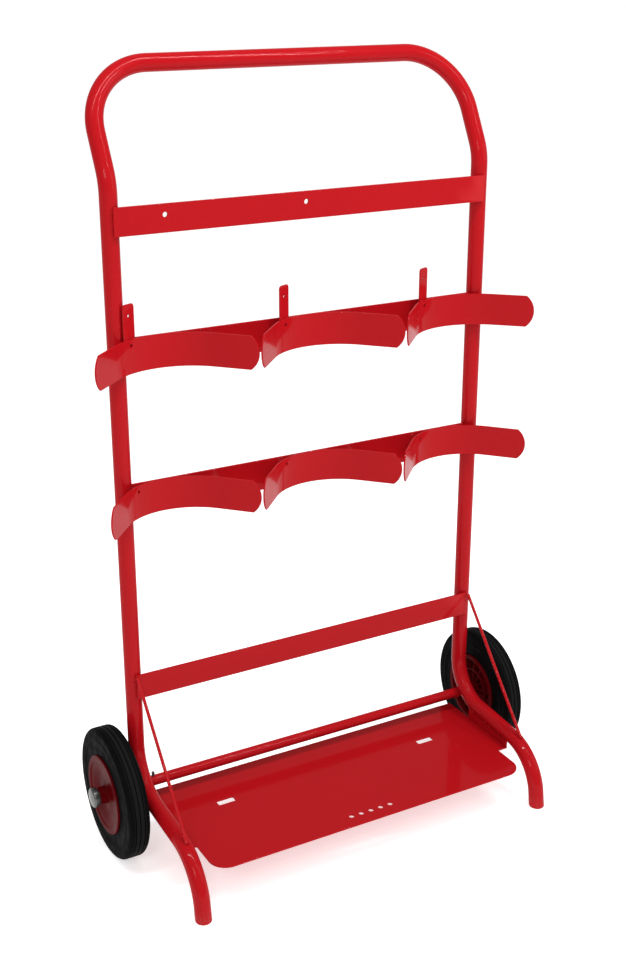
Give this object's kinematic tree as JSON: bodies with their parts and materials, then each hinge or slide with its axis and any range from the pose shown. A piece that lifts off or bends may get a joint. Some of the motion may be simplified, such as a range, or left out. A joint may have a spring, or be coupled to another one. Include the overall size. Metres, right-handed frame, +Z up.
{
  "type": "gas cylinder trolley",
  "caption": "Upright hand trolley for gas cylinders: bent red tube frame with a hoop handle, curved cradle straps, flat deck and solid-tyred wheels.",
  "frame": {"origin": "on the floor, under the middle of the trolley's bounding box", "axes": "+Z up, +X across the trolley towards the wheel on the right of a person facing its cradles, -Y towards the deck and the feet, +Y towards the side from which it is pushed"},
  "size_m": [0.9682, 0.432, 1.4967],
  "materials": {
    "red_enamel": "glossy red enamel",
    "wheel_plastic": "satin dark red moulding",
    "tyre_rubber": "matt black solid rubber",
    "zinc_steel": "bright zinc plate",
    "black_steel": "black oxide",
    "nylon": "natural nylon"
  },
  "bodies": {
    "root": {"main_frame_tube": "red_enamel", "foot_cap_left": "red_enamel", "foot_cap_right": "red_enamel", "top_crossbar": "red_enamel", "lower_crossbar": "red_enamel", "upper_cradle_bar": "red_enamel", "upper_cradle_left": "red_enamel", "upper_cradle_centre": "red_enamel", "upper_cradle_right": "red_enamel", "lower_cradle_bar": "red_enamel", "lower_cradle_left": "red_enamel", "lower_cradle_centre": "red_enamel", "lower_cradle_right": "red_enamel", "chain_tab_left": "red_enamel", "chain_tab_centre": "red_enamel", "chain_tab_right": "red_enamel", "base_plate": "red_enamel", "brace_rod_left": "red_enamel", "brace_rod_right": "red_enamel", "axle_tube": "red_enamel", "axle": "zinc_steel", "axle_lock_screw": "black_steel", "left_inner_washer": "zinc_steel", "left_outer_washer": "zinc_steel", "left_axle_cap": "zinc_steel", "right_inner_washer": "zinc_steel", "right_outer_washer": "zinc_steel", "right_axle_cap": "zinc_steel"},
    "left_wheel": {"left_tyre": "tyre_rubber", "left_wheel_centre": "wheel_plastic", "left_hub_bush": "nylon"},
    "right_wheel": {"right_tyre": "tyre_rubber", "right_wheel_centre": "wheel_plastic", "right_hub_bush": "nylon"}
  },
  "joints": [
    {"name": "left_wheel_spin", "type": "hinge", "parent": "root", "child": "left_wheel", "pos_m": [-0.4335, 0.08604, 0.13], "axis": [1, 0, 0], "continuous": true},
    {"name": "right_wheel_spin", "type": "hinge", "parent": "root", "child": "right_wheel", "pos_m": [0.4335, 0.08604, 0.13], "axis": [1, 0, 0], "continuous": true}
  ]
}
